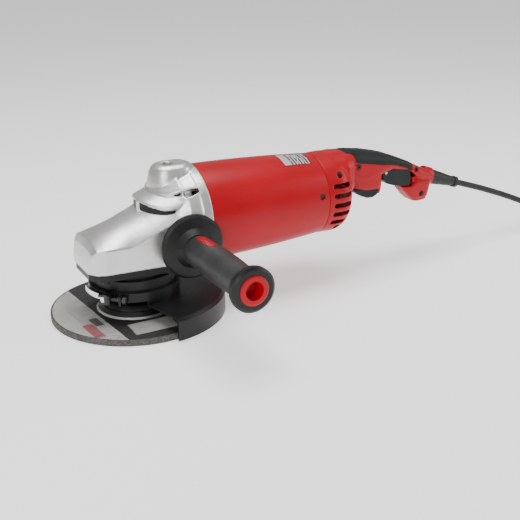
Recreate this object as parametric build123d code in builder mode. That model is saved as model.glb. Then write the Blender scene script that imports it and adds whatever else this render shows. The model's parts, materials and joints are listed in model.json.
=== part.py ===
from build123d import *
import math
import os

# Large angle grinder with a depressed-centre wheel, a half guard, a side handle and a
# trigger handle at the rear.  Millimetres.
# The origin is on the spindle axis at the spindle's free threaded end.  +Z points up
# along the spindle, +X along the motor towards the rear handle, and the side handle
# stands out towards -Y.

# ---- driving dimensions ----
REST_Z = -0.6            # plane that the wheel stands on
MOTOR_Z = 96.4           # height of the motor axis

WHEEL_R = 89.0           # 178 mm (7 in) wheel
WHEEL_T = 6.35
WHEEL_BORE_R = 11.11
HUB_RISE = 6.0           # how far the wheel's centre is pressed up
HUB_R = 35.5             # radius of the raised centre
LABEL_T = 0.3

SPINDLE_R = 7.94         # 5/8 in thread, modelled plain
SPINDLE_FREE = 3.0       # thread left bare below the nut
SPINDLE_SEAT_R = 10.0    # bearing seat
GEAR_SEAT_R = 9.0
SPINDLE_TOP_R = 7.0
THREAD_GAP = 0.05
RUN_GAP = 0.05           # radial clearance of a running fit
NUT_R = 20.0

GEAR_MODULE = 1.5
GEAR_TEETH = 38
PINION_TEETH = 11
FACE_WIDTH = 9.0
TOOTH_THIN = 0.78        # tooth thickness as a share of half the pitch: generous backlash

GUARD_CLEAR = 6.2        # from the wheel's rim to the outside of the guard
GUARD_R = WHEEL_R + GUARD_CLEAR
GUARD_T = 2.0
GUARD_TOP = 23.4
GUARD_LIFT = 0.5         # guard's lower edge above the resting plane
NECK_R = 43.5            # bearing cap neck that the guard turns on
GUARD_GAP = 0.08

CASE_FLOOR = 58.0        # flat underside of the gear case
CASE_WALL = 4.0
FLANGE_R = 54.0
FLANGE_X = (60.0, 70.0)

TUBE_X = (70.0, 213.4)   # motor housing, front and rear
TUBE_R_FRONT = 52.2
TUBE_R_REAR = 45.4
TUBE_BORE_R = 43.0
TUBE_FRONT_BORE_R = 49.0

ARMATURE_R = 26.0
STATOR_R = 42.95
COMMUTATOR_R = 19.0
SHAFT_R = 7.5

SIDE_X = 43.1            # side handle axis
SIDE_Z = 81.5
BOSS_FACE_Y = 54.0       # face of the side sockets
SOCKET_R = 7.0           # M14 socket, modelled plain
SOCKET_DEPTH = 16.0
HANDLE_END_Y = 189.4
FLANGE_DISC_R = 33.4
GRIP_END_R = 22.0

BARREL_X = 214.0         # rear housing starts here
BARREL_R = 46.0
DOME_X = 230.0
DOME_LENGTH = 29.0
SHELL = 3.0              # wall of the plastic shells

CORD_D = 7.5
CORD_LENGTH = 2400.0
RELIEF_START = (383.0, 0.0, 92.0)
RELIEF_LENGTH = 44.0
RELIEF_TILT = 18.0       # degrees below level
COIL_CENTRE = (668.0, -41.25)
COIL_R = 41.25           # mean radius of the coil

MOTOR_AXIS = Axis((0, 0, MOTOR_Z), (1, 0, 0))
SIDE_AXIS = Axis((SIDE_X, 0, SIDE_Z), (0, 1, 0))

os.makedirs("parts", exist_ok=True)


def save(piece, name):
    """Label a finished piece and write it as one STEP file."""
    piece.part.label = name
    export_step(piece.part, "parts/" + name + ".step")


def revolve_about_z(points):
    """Solid of revolution about the spindle axis from (radius, z) points."""
    with BuildSketch(Plane.XZ) as section:
        with BuildLine():
            Polyline(*points, close=True)
        make_face()
    revolve(section.sketch, axis=Axis.Z)


def revolve_about_motor(points):
    """Solid of revolution about the motor axis from (x, radius) points."""
    with BuildSketch(Plane.XZ) as section:
        with BuildLine():
            Polyline(*[(x, MOTOR_Z + r) for x, r in points], close=True)
        make_face()
    revolve(section.sketch, axis=MOTOR_AXIS)


def revolve_about_side(points):
    """Solid of revolution about the side handle's axis from (distance out, radius) points."""
    with BuildSketch(Plane.YZ.offset(SIDE_X)) as section:
        with BuildLine():
            Polyline(*[(-out, SIDE_Z + r) for out, r in points], close=True)
        make_face()
    revolve(section.sketch, axis=SIDE_AXIS)


def motor_plane(x):
    """Plane across the motor axis at x, its own axes along Y and Z."""
    return Plane(origin=(x, 0, MOTOR_Z), x_dir=(0, 1, 0), z_dir=(1, 0, 0))


def rod(start, end, radius, mode=Mode.ADD):
    """Plain round rod from one point to another."""
    way = Vector(*end) - Vector(*start)
    with BuildSketch(Plane(origin=start, z_dir=way)) as section:
        Circle(radius)
    extrude(section.sketch, amount=way.length, mode=mode)


# ---- wheel, flanges and spindle ----
HUB_UNDER = REST_Z + HUB_RISE
HUB_TOP = HUB_UNDER + WHEEL_T
RIM_TOP = REST_Z + WHEEL_T
FLANGE_TOP = HUB_TOP + 9.5
BEARING_Z = (28.0, 42.0)
GEAR_TOP = MOTOR_Z - 6.9
GEAR_BOTTOM = MOTOR_Z - 26.0
SPINDLE_TOP = 101.5

with BuildPart() as wheel:
    revolve_about_z([
        (WHEEL_BORE_R, HUB_UNDER), (HUB_R, HUB_UNDER), (HUB_R + HUB_RISE, REST_Z),
        (WHEEL_R, REST_Z), (WHEEL_R, RIM_TOP), (HUB_R + HUB_RISE, RIM_TOP),
        (HUB_R, HUB_TOP), (WHEEL_BORE_R, HUB_TOP),
    ])
save(wheel, "grinding_wheel")

with BuildPart() as wheel_label:
    revolve_about_z([
        (HUB_R + HUB_RISE + 1, RIM_TOP), (WHEEL_R - 2, RIM_TOP),
        (WHEEL_R - 2, RIM_TOP + LABEL_T), (HUB_R + HUB_RISE + 1, RIM_TOP + LABEL_T),
    ])
save(wheel_label, "wheel_label")

with BuildPart() as clamp_nut:
    revolve_about_z([
        (SPINDLE_R + THREAD_GAP, SPINDLE_FREE), (NUT_R, SPINDLE_FREE), (NUT_R, HUB_UNDER),
        (WHEEL_BORE_R - 0.1, HUB_UNDER), (WHEEL_BORE_R - 0.1, HUB_UNDER + 4),
        (SPINDLE_R + THREAD_GAP, HUB_UNDER + 4),
    ])
    with BuildSketch(Plane.XY.offset(SPINDLE_FREE)):
        with PolarLocations(NUT_R, 4):
            Rectangle(5, 5)
    extrude(amount=HUB_UNDER - SPINDLE_FREE, mode=Mode.SUBTRACT)
save(clamp_nut, "clamp_nut")

with BuildPart() as inner_flange:
    revolve_about_z([
        (SPINDLE_R + THREAD_GAP, HUB_TOP), (HUB_R - 1.5, HUB_TOP), (HUB_R - 1.5, HUB_TOP + 2.5),
        (HUB_R - 4, HUB_TOP + 5), (26, HUB_TOP + 7), (18, FLANGE_TOP - 1), (13, FLANGE_TOP),
        (SPINDLE_R + THREAD_GAP, FLANGE_TOP),
    ])
save(inner_flange, "inner_flange")

with BuildPart() as spindle:
    revolve_about_z([
        (0, 0), (SPINDLE_R, 0), (SPINDLE_R, SPINDLE_FREE), (SPINDLE_R - 0.5, SPINDLE_FREE),
        (SPINDLE_R - 0.5, SPINDLE_FREE + 0.5), (SPINDLE_R, SPINDLE_FREE + 0.5), (SPINDLE_R, FLANGE_TOP),
        (12, FLANGE_TOP),
        (12, BEARING_Z[0]), (SPINDLE_SEAT_R, BEARING_Z[0]), (SPINDLE_SEAT_R, BEARING_Z[1] + 2),
        (GEAR_SEAT_R, BEARING_Z[1] + 2), (GEAR_SEAT_R, GEAR_TOP), (SPINDLE_TOP_R, GEAR_TOP),
        (SPINDLE_TOP_R, SPINDLE_TOP), (0, SPINDLE_TOP),
    ])
save(spindle, "spindle")


def ball_ring(axis_plane, ring_radius, ball_radius, count):
    """Ring of balls in the plane through the middle of a bearing."""
    with Locations(axis_plane):
        with PolarLocations(ring_radius, count):
            Sphere(ball_radius)


def ring_about_z(name, inner, outer, low, high):
    """Plain ring about the spindle axis, saved under its name."""
    with BuildPart() as ring:
        revolve_about_z([(inner, low), (outer, low), (outer, high), (inner, high)])
    save(ring, name)


def ring_about_motor(name, inner, outer, front, rear):
    """Plain ring about the motor axis, saved under its name."""
    with BuildPart() as ring:
        revolve_about_motor([(front, inner), (rear, inner), (rear, outer), (front, outer)])
    save(ring, name)


# spindle ball bearing, 20 x 47 x 14
BALL_R = 3.5
BALL_RING_R = 16.8
SPINDLE_BEARING_R = 23.5
ring_about_z("spindle_bearing_inner", SPINDLE_SEAT_R, BALL_RING_R - BALL_R - RUN_GAP, *BEARING_Z)
ring_about_z("spindle_bearing_outer", BALL_RING_R + BALL_R + RUN_GAP, SPINDLE_BEARING_R, *BEARING_Z)

with BuildPart() as spindle_balls:
    ball_ring(Plane.XY.offset(sum(BEARING_Z) / 2), BALL_RING_R, BALL_R, 9)
save(spindle_balls, "spindle_bearing_balls")

# upper spindle bush and the ring that keeps the gear down
BUSH_Z = (92.5, 102.0)
BUSH_R = 11.0
ring_about_z("spindle_top_bush", SPINDLE_TOP_R + RUN_GAP, BUSH_R, BUSH_Z[0], BUSH_Z[1] - 0.5)
ring_about_z("gear_retaining_ring", SPINDLE_TOP_R, 10.5, GEAR_TOP, GEAR_TOP + 1.5)

# ---- straight bevel pair; both pitch cones meet where the two axes cross ----
GEAR_R = GEAR_MODULE * GEAR_TEETH / 2
PINION_R = GEAR_MODULE * PINION_TEETH / 2
CONE = math.hypot(GEAR_R, PINION_R)
ALONG = (GEAR_R / CONE, PINION_R / CONE)          # along the shared pitch line
SHRINK = (CONE - FACE_WIDTH) / CONE               # inner end of a tooth against its outer end
TIP = 0.8 * GEAR_MODULE
ROOT = 1.1 * GEAR_MODULE
FLANK = math.tan(math.radians(20))
HALF_TOOTH = math.pi * GEAR_MODULE / 4 * TOOTH_THIN
TOOTH_SINK = 0.4                                  # how far a tooth reaches into its blank


def tooth(scale, side):
    """Cross-section of one tooth, shrunk towards the cone's apex; side is +1 for the gear."""
    origin = (GEAR_R * scale, 0, MOTOR_Z - PINION_R * scale)
    normal = (ALONG[0], 0, -ALONG[1])
    with BuildSketch(Plane(origin=origin, x_dir=(0, side, 0), z_dir=normal)) as section:
        with BuildLine():
            top = HALF_TOOTH - TIP * FLANK
            foot = HALF_TOOTH + (ROOT + TOOTH_SINK) * FLANK
            Polyline(
                (-foot * scale, -(ROOT + TOOTH_SINK) * scale), (foot * scale, -(ROOT + TOOTH_SINK) * scale),
                (top * scale, TIP * scale), (-top * scale, TIP * scale), close=True,
            )
        make_face()
    return section.sketch


with BuildPart() as gear_tooth:
    loft([tooth(1.0, 1), tooth(SHRINK, 1)], ruled=True)

with BuildPart() as pinion_tooth:
    loft([tooth(1.0, -1), tooth(SHRINK, -1)], ruled=True)

GEAR_ROOT_OUT = (GEAR_R - ROOT * ALONG[1], MOTOR_Z - PINION_R - ROOT * ALONG[0])
GEAR_ROOT_IN = (GEAR_ROOT_OUT[0] * SHRINK, MOTOR_Z + (GEAR_ROOT_OUT[1] - MOTOR_Z) * SHRINK)
LOCK_Z = GEAR_BOTTOM + 5
LOCK_PIN_R = 3.0
LOCK_TRAVEL = 4.5
GEAR_HUB_R = 14.0

with BuildPart() as bevel_gear:
    revolve_about_z([
        (GEAR_SEAT_R, GEAR_BOTTOM), (GEAR_HUB_R, GEAR_BOTTOM), (GEAR_HUB_R, MOTOR_Z - 16),
        (26, MOTOR_Z - 14), GEAR_ROOT_OUT, GEAR_ROOT_IN, (12, GEAR_TOP), (GEAR_SEAT_R, GEAR_TOP),
    ])
    with PolarLocations(0, GEAR_TEETH):
        add(gear_tooth.part)
    for plane in (Plane.XZ, Plane.YZ):
        with BuildSketch(plane.offset(GEAR_SEAT_R + 0.8)):
            with Locations((0, LOCK_Z)):
                Circle(LOCK_PIN_R + 0.3)
        extrude(amount=GEAR_HUB_R, mode=Mode.SUBTRACT)
        with BuildSketch(plane.offset(-GEAR_SEAT_R - 0.8)):
            with Locations((0, LOCK_Z)):
                Circle(LOCK_PIN_R + 0.3)
        extrude(amount=-GEAR_HUB_R, mode=Mode.SUBTRACT)
save(bevel_gear, "bevel_gear")

PINION_ROOT_OUT = (GEAR_R + ROOT * ALONG[1], PINION_R - ROOT * ALONG[0])
PINION_ROOT_IN = (PINION_ROOT_OUT[0] * SHRINK, PINION_ROOT_OUT[1] * SHRINK)
PINION_BORE_R = 3.5
PINION_BACK_X = 36.0

with BuildPart() as pinion:
    revolve_about_motor([
        (PINION_ROOT_IN[0], PINION_BORE_R), PINION_ROOT_IN, PINION_ROOT_OUT, (PINION_BACK_X, 8),
        (PINION_BACK_X, PINION_BORE_R),
    ])
    for turn in range(PINION_TEETH):
        add(pinion_tooth.part.rotate(MOTOR_AXIS, (turn + 0.5) * 360 / PINION_TEETH))
save(pinion, "pinion")

# ---- armature ----
FRONT_BEARING_X = (45.0, 56.0)
REAR_BEARING_X = (200.0, 209.0)
CORE_X = (96.0, 160.0)
COMMUTATOR_X = (172.0, 194.0)
FRONT_BEARING_R = 17.5
REAR_BEARING_R = 15.0

with BuildPart() as shaft:
    revolve_about_motor([
        (PINION_ROOT_IN[0], 0), (PINION_ROOT_IN[0], PINION_BORE_R), (PINION_BACK_X, PINION_BORE_R),
        (PINION_BACK_X, SHAFT_R), (REAR_BEARING_X[0], SHAFT_R), (REAR_BEARING_X[0], 5),
        (REAR_BEARING_X[1], 5), (REAR_BEARING_X[1], 0),
    ])
save(shaft, "armature_shaft")

with BuildPart() as core:
    with BuildSketch(motor_plane(CORE_X[0])):
        Circle(ARMATURE_R)
        Circle(SHAFT_R, mode=Mode.SUBTRACT)
        with PolarLocations(ARMATURE_R, 16):
            Rectangle(12, 2.4, mode=Mode.SUBTRACT)
    extrude(amount=CORE_X[1] - CORE_X[0])
save(core, "armature_core")

with BuildPart() as windings:
    revolve_about_motor([(86, 9), (CORE_X[0], 9), (CORE_X[0], 24), (90, 24), (86, 18)])
    revolve_about_motor([(CORE_X[1], 9), (170, 9), (170, 16), (166, 23), (CORE_X[1], 24)])
save(windings, "armature_windings")

with BuildPart() as commutator:
    revolve_about_motor([
        (COMMUTATOR_X[0], SHAFT_R), (COMMUTATOR_X[1], SHAFT_R), (COMMUTATOR_X[1], COMMUTATOR_R),
        (COMMUTATOR_X[0], COMMUTATOR_R),
    ])
    with BuildSketch(motor_plane(COMMUTATOR_X[0])):
        with PolarLocations(COMMUTATOR_R, 24):
            Rectangle(1.6, 0.7)
    extrude(amount=COMMUTATOR_X[1] - COMMUTATOR_X[0], mode=Mode.SUBTRACT)
save(commutator, "commutator")

FAN_X = (62.0, 78.0)
FAN_R = 44.0
with BuildPart() as fan:
    revolve_about_motor([
        (FAN_X[0], SHAFT_R), (FAN_X[0], 14), (FAN_X[0] + 10, 16), (FAN_X[1] - 3, 40), (FAN_X[1] - 3, FAN_R),
        (FAN_X[1], FAN_R), (FAN_X[1], SHAFT_R),
    ])
    with BuildSketch(motor_plane(FAN_X[0] + 4)):
        with PolarLocations(29, 12):
            Rectangle(FAN_R - 15, 1.8, rotation=12)
    extrude(amount=FAN_X[1] - FAN_X[0] - 5)
save(fan, "cooling_fan")


def ring_profile(inner, outer, stretch):
    """(x, radius) outline of a plain ring about the motor axis."""
    front, rear = stretch
    return [(front, inner), (rear, inner), (rear, outer), (front, outer)]


with BuildPart() as inner_races:
    revolve_about_motor(ring_profile(SHAFT_R, 10.5 - RUN_GAP, FRONT_BEARING_X))
    revolve_about_motor(ring_profile(5.0, 7.7 - RUN_GAP, REAR_BEARING_X))
save(inner_races, "armature_bearing_inners")

with BuildPart() as outer_races:
    revolve_about_motor(ring_profile(15.3 + RUN_GAP, FRONT_BEARING_R, FRONT_BEARING_X))
    revolve_about_motor(ring_profile(12.5 + RUN_GAP, REAR_BEARING_R, REAR_BEARING_X))
save(outer_races, "armature_bearing_outers")

with BuildPart() as armature_balls:
    ball_ring(motor_plane(sum(FRONT_BEARING_X) / 2), 12.9, 2.4, 10)
    ball_ring(motor_plane(sum(REAR_BEARING_X) / 2), 10.1, 2.4, 8)
save(armature_balls, "armature_bearing_balls")

# ---- stator, coils, baffle, brushes ----
POLE_HALF = 20.0
AIR_GAP = 0.7
with BuildPart() as stator:
    with BuildSketch(motor_plane(CORE_X[0])):
        Circle(STATOR_R)
        Circle(37, mode=Mode.SUBTRACT)
        Rectangle(2 * POLE_HALF, 75)
        Circle(ARMATURE_R + AIR_GAP, mode=Mode.SUBTRACT)
    extrude(amount=CORE_X[1] - CORE_X[0])
save(stator, "stator_core")

with BuildPart() as coils:
    with BuildSketch(Plane.XY.offset(MOTOR_Z - 37)):
        with Locations((sum(CORE_X) / 2, 0)):
            RectangleRounded(CORE_X[1] - CORE_X[0] + 18, 2 * POLE_HALF + 16, 8)
            Rectangle(CORE_X[1] - CORE_X[0] + 0.4, 2 * POLE_HALF + 0.4, mode=Mode.SUBTRACT)
    extrude(amount=74)
    with BuildSketch(motor_plane(80)):
        Circle(36.6)
        Circle(ARMATURE_R + 2, mode=Mode.SUBTRACT)
        Rectangle(80, 18, mode=Mode.SUBTRACT)
    extrude(amount=100, mode=Mode.INTERSECT)
save(coils, "field_coils")

ring_about_motor("fan_baffle", 36.0, TUBE_FRONT_BORE_R - 0.1, 81.5, 84.0)

BRUSH_X = 183.0
with BuildPart() as brush_ring:
    revolve_about_motor([(174, 38), (192, 38), (192, TUBE_BORE_R - 0.1), (174, TUBE_BORE_R - 0.1)])
    with BuildSketch(Plane.XZ.offset(-TUBE_BORE_R)):
        with Locations((BRUSH_X, MOTOR_Z)):
            Rectangle(10, 16)
    extrude(amount=2 * TUBE_BORE_R, mode=Mode.SUBTRACT)
save(brush_ring, "brush_ring")


def across(y_near, y_far):
    """Both signs of a stretch across the tool."""
    return ((-y_far, -y_near), (y_near, y_far))


def cross_box(x_size, z_size, low, high, mode=Mode.ADD):
    """Block at the brush position between two y values."""
    with BuildSketch(Plane.XZ.offset(-high)) as section:
        with Locations((BRUSH_X, MOTOR_Z)):
            Rectangle(x_size, z_size)
    extrude(section.sketch, amount=high - low, mode=mode)


with BuildPart() as holders:
    for low, high in across(22, 41.5):
        cross_box(9.6, 15.6, low, high)
        cross_box(7.2, 13.2, low, high, Mode.SUBTRACT)
save(holders, "brush_holders")

with BuildPart() as brushes:
    for low, high in across(15, 35):
        cross_box(7.0, 13.0, low, high)
    with BuildSketch(motor_plane(COMMUTATOR_X[0])):
        Circle(COMMUTATOR_R + RUN_GAP)
    extrude(amount=COMMUTATOR_X[1] - COMMUTATOR_X[0], mode=Mode.SUBTRACT)
save(brushes, "carbon_brushes")


# ---- gear case ----
# (x, half width, height of the side ridge, height of the crest)
NOSE = [
    (-56.5, 22, 67, 69), (-53, 28, 79, 82), (-49, 33, 84, 90), (-40, 36.5, 84.4, 94),
    (-15, 38.5, 84.4, 103.5), (7, 40.5, 94, 112), (30, 43, 103, 124), (44, 45, 110, 134),
]
LOWER_HOOD = [(4, 39, 102.5, 122.5), (30, 43.5, 111, 133), (44, 45.5, 116, 139)]
UPPER_HOOD = [(17, 38, 109, 128.5), (44, 44.5, 123, 148)]
HOOD_T = 2.5
LOWER_HOOD_FRONT = (45.5, 40.0)       # centre x and radius of its rounded front, seen from above
UPPER_HOOD_FRONT = (55.7, 36.4)
SLOT_DEPTH = 9.0
WEB_X = (48.0, 56.0)
HUMP_X = 42.5
HUMP_TOP = 154.4
HUMP_STRETCH = 10.0       # how much longer than wide the boss on top of the case is
# (radius, height) of the boss's level sections
HUMP_LEVELS = [(24, 114), (21, 138), (19, 146), (16.5, 151.2), (13.5, 153.6), (11.5, HUMP_TOP)]


def arch(station, shrink=0.0, floor=CASE_FLOOR):
    """Flat-bottomed section across the case with a domed top, optionally shrunk all round."""
    x, half, ridge, crest = station
    half -= shrink
    ridge -= shrink
    crest -= shrink
    with BuildSketch(Plane.YZ.offset(x)) as section:
        with BuildLine():
            Polyline((-half, ridge), (-half, floor), (half, floor), (half, ridge))
            ThreePointArc((half, ridge), (0, crest), (-half, ridge))
        make_face()
    return section.sketch


def arched_body(stations, shrink=0.0, floor=CASE_FLOOR):
    """Body through a row of arch sections."""
    loft([arch(station, shrink, floor) for station in stations], ruled=True)


def hump_level(radius, z):
    """Level section of the boss on top of the case, stretched towards the flange."""
    with BuildSketch(Plane.XY.offset(z)) as section:
        with Locations((HUMP_X + HUMP_STRETCH / 2, 0)):
            RectangleRounded(2 * radius + HUMP_STRETCH, 2 * radius, radius - 0.2)
    return section.sketch


def upright_disc(centre_x, radius, mode=Mode.INTERSECT):
    """Tall upright cylinder that trims a hood."""
    with BuildSketch(Plane.XY.offset(CASE_FLOOR)) as section:
        with Locations((centre_x, 0)):
            Circle(radius)
    extrude(section.sketch, amount=120, mode=mode)


with BuildPart() as lower_hood:
    arched_body(LOWER_HOOD, floor=90)
    upright_disc(*LOWER_HOOD_FRONT)

with BuildPart() as upper_hood:
    arched_body(UPPER_HOOD, floor=100)
    upright_disc(*UPPER_HOOD_FRONT)

with BuildPart() as nose:
    arched_body(NOSE)


def slot_under(stations, front, below, floor):
    """Open space under a hood's lip, down to the body beneath it."""
    with BuildPart() as slot:
        arched_body([(x - 3, h, r - 1.5, c - 1.5) if i == 0 else (x, h, r, c)
                     for i, (x, h, r, c) in enumerate(stations)], HOOD_T, floor)
        upright_disc(front[0], front[1] + 1)
        upright_disc(front[0], front[1] - SLOT_DEPTH, Mode.SUBTRACT)
        with BuildSketch(Plane.XZ.offset(-60)):
            with Locations((front[0] + 20, MOTOR_Z + 20)):
                Rectangle(60, 120)
        extrude(amount=120, mode=Mode.SUBTRACT)
        add(below, mode=Mode.SUBTRACT)
    return slot.part


lower_slot = slot_under(LOWER_HOOD, LOWER_HOOD_FRONT, nose.part, 90)
upper_slot = slot_under(UPPER_HOOD, UPPER_HOOD_FRONT, nose.part + lower_hood.part, 100)

with BuildPart() as hump:
    loft([hump_level(radius, z) for radius, z in HUMP_LEVELS], ruled=True)
    split(bisect_by=Plane.YZ.offset(FLANGE_X[1] - 1), keep=Keep.BOTTOM)

with BuildPart() as gear_case:
    add(nose)
    add(lower_hood)
    add(upper_hood)
    revolve_about_motor([
        (30, 0), (30, 36), (38, 44), (48, 50), (FLANGE_X[0], 53), (FLANGE_X[0], FLANGE_R),
        (FLANGE_X[1], FLANGE_R), (FLANGE_X[1], 0),
    ])
    add(hump)
    rod((SIDE_X, -BOSS_FACE_Y, SIDE_Z), (SIDE_X, BOSS_FACE_Y, SIDE_Z), 15)
    rod((0, 30, LOCK_Z), (0, 41, LOCK_Z), 10)

with BuildPart() as case_space:
    arched_body(NOSE[1:-1], CASE_WALL, CASE_FLOOR - 1)
    revolve_about_motor([(30, 0), (30, 32), (38, 40), (WEB_X[0], 45.5), (WEB_X[0], 0)])
    rod((SIDE_X, -BOSS_FACE_Y, SIDE_Z), (SIDE_X, -BOSS_FACE_Y + SOCKET_DEPTH + 4, SIDE_Z), 13, Mode.SUBTRACT)
    rod((SIDE_X, BOSS_FACE_Y, SIDE_Z), (SIDE_X, BOSS_FACE_Y - SOCKET_DEPTH - 4, SIDE_Z), 13, Mode.SUBTRACT)
    rod((HUMP_X, 0, HUMP_TOP), (HUMP_X, 0, HUMP_TOP - SOCKET_DEPTH - 4), 12, Mode.SUBTRACT)
    rod((0, 0, BUSH_Z[0]), (0, 0, 130), BUSH_R + 4, Mode.SUBTRACT)
    rod((FRONT_BEARING_X[0] - 3, 0, MOTOR_Z), (60, 0, MOTOR_Z), FRONT_BEARING_R + 4, Mode.SUBTRACT)
    rod((0, 46, LOCK_Z), (0, 30.5, LOCK_Z), 8, Mode.SUBTRACT)

SCREW_RING_R = 49.0
SCREW_ANGLES = (43, 137, 223, 317)
FAN_SPACE_R = 45.6
SCREW_BITE = 11.0         # how far the long screws reach into the motor housing
HEAD_R = 3.6
SHANK_R = 2.2


def case_screw_points():
    """Places of the long screws around the flange, as (y, z)."""
    return [
        (SCREW_RING_R * math.cos(math.radians(a)), MOTOR_Z + SCREW_RING_R * math.sin(math.radians(a)))
        for a in SCREW_ANGLES
    ]


with BuildPart(mode=Mode.PRIVATE) as case_cuts:
    add(case_space)
    revolve_about_motor([
        (WEB_X[1], 0), (WEB_X[1], FAN_SPACE_R), (FLANGE_X[1] + 1, FAN_SPACE_R), (FLANGE_X[1] + 1, 0),
    ])
    rod((FRONT_BEARING_X[0], 0, MOTOR_Z), (60, 0, MOTOR_Z), FRONT_BEARING_R)
    rod((FRONT_BEARING_X[0] - 4, 0, MOTOR_Z), (60, 0, MOTOR_Z), 12)
    rod((0, 0, BUSH_Z[0] - 1), (0, 0, BUSH_Z[1]), BUSH_R)
    for side in (-1, 1):
        socket_end = side * (BOSS_FACE_Y - SOCKET_DEPTH)
        rod((SIDE_X, side * BOSS_FACE_Y, SIDE_Z), (SIDE_X, socket_end, SIDE_Z), SOCKET_R)
    rod((HUMP_X, 0, HUMP_TOP), (HUMP_X, 0, HUMP_TOP - SOCKET_DEPTH), SOCKET_R)
    rod((0, 50, LOCK_Z), (0, 20, LOCK_Z), LOCK_PIN_R + RUN_GAP)
    with BuildSketch(motor_plane(WEB_X[0] - 1)):
        with PolarLocations(33, 6, start_angle=30):
            SlotOverall(16, 9, rotation=90)
    extrude(amount=WEB_X[1] - WEB_X[0] + 2)
    for y, z in case_screw_points():
        rod((FLANGE_X[1] + 1, y, z), (30, y, z), SHANK_R)
        rod((FLANGE_X[0] + 2, y, z), (46, y, z), HEAD_R + 0.4)

RIB_T = 2.2
with BuildPart() as slot_ribs:
    for x, y, low, high in ((9, -7, 104, 121), (23, -5, 118, 128)):
        with BuildSketch(Plane.XY.offset(low)):
            with Locations((x, y)):
                Rectangle(9, RIB_T, rotation=-12)
        extrude(amount=high - low)

with BuildPart() as finished_case:
    add(gear_case)
    add(lower_slot, mode=Mode.SUBTRACT)
    add(upper_slot, mode=Mode.SUBTRACT)
    add(slot_ribs)
    add(case_cuts, mode=Mode.SUBTRACT)
save(finished_case, "gear_case")

# ---- bearing cap under the gear case ----
PLATE_T = 7.0
NECK_Z = (24.0, 48.0)
BAND_Z = (28.0, 37.5)     # clamp band around the guard's neck
NECK_ROOT_R = NECK_R - 5.5
PLATE_INSET = 1.5
PLATE_REAR_X = 30.5
CAP_SCREWS = [(-40, 28.5), (-40, -28.5), (26, 37), (26, -37)]
PLATE_Z = CASE_FLOOR - PLATE_T

with BuildPart() as bearing_cap:
    with BuildSketch(Plane.XY.offset(PLATE_Z)):
        with BuildLine():
            near = [(x + PLATE_INSET, -half + PLATE_INSET) for x, half, _, _ in NOSE[:6]]
            near.append((PLATE_REAR_X, -NOSE[6][1] + PLATE_INSET))
            Polyline(*near, *[(x, -y) for x, y in reversed(near)], close=True)
        make_face()
    extrude(amount=PLATE_T)
    revolve_about_z([
        (0, NECK_Z[0]), (NECK_R - 12, NECK_Z[0]), (NECK_R, BAND_Z[0]), (NECK_R, NECK_Z[1]),
        (NECK_ROOT_R, NECK_Z[1]), (NECK_ROOT_R, PLATE_Z), (0, PLATE_Z),
    ])
    with BuildSketch(Plane.XY.offset(BEARING_Z[1])):
        Circle(33)
    extrude(amount=20, mode=Mode.SUBTRACT)
    with BuildSketch(Plane.XY.offset(BEARING_Z[0])):
        Circle(SPINDLE_BEARING_R)
    extrude(amount=20, mode=Mode.SUBTRACT)
    with BuildSketch(Plane.XY):
        Circle(12.6)
    extrude(amount=40, mode=Mode.SUBTRACT)
    for x, y in CAP_SCREWS:
        rod((x, y, PLATE_Z - 1), (x, y, CASE_FLOOR + 1), SHANK_R, Mode.SUBTRACT)
save(bearing_cap, "bearing_cap")

with BuildPart() as cap_screws:
    for x, y in CAP_SCREWS:
        rod((x, y, PLATE_Z - 3), (x, y, PLATE_Z), HEAD_R)
        rod((x, y, PLATE_Z), (x, y, CASE_FLOOR), SHANK_R)
        rod((x, y, PLATE_Z - 4), (x, y, PLATE_Z - 1.5), 1.6, Mode.SUBTRACT)
save(cap_screws, "cap_screws")

with BuildPart() as case_screws:
    for y, z in case_screw_points():
        rod((FLANGE_X[0] - 2, y, z), (FLANGE_X[0] + 2, y, z), HEAD_R)
        rod((FLANGE_X[0] + 2, y, z), (TUBE_X[0] + SCREW_BITE, y, z), SHANK_R)
        rod((FLANGE_X[0] - 3, y, z), (FLANGE_X[0], y, z), 1.6, Mode.SUBTRACT)
save(case_screws, "case_screws")

# ---- spindle lock button on the far side of the case ----
LOCK_FACE_Y = 41.0
LOCK_SPRING = LOCK_TRAVEL + 1.0
with BuildPart() as lock_button:
    rod((0, GEAR_HUB_R + 1.5, LOCK_Z), (0, LOCK_FACE_Y + LOCK_SPRING, LOCK_Z), LOCK_PIN_R)
    rod((0, LOCK_FACE_Y + LOCK_SPRING, LOCK_Z), (0, LOCK_FACE_Y + LOCK_SPRING + 4, LOCK_Z), 8)
    chamfer(lock_button.edges().group_by(Axis.Y)[-1], 0.8)
save(lock_button, "lock_button")

# ---- guard ----
GUARD_BOTTOM = REST_Z + GUARD_LIFT
GUARD_NECK_R = NECK_R + GUARD_GAP
GUARD_NECK_TOP = 38.0
GUARD_NECK_OPEN = 27.0    # lower edge of the guard's neck where the wheel is bare
BAND_R = (GUARD_NECK_R + GUARD_T + 0.05, GUARD_NECK_R + GUARD_T + 2.3)
EAR_ANGLE = 228.0
EAR_SPREAD = 6.0
CLAMP_R = BAND_R[1] + 4.62
CLAMP_Z = sum(BAND_Z) / 2
GUARD_SLANT = 0.24        # how far the guard's straight edges lean back per mm outwards
GUARD_EDGE = (9.7, 98.4)  # a point on the +Y straight edge, seen from above
GUARD_REACH = 130.0       # beyond any point of the guard

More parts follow.
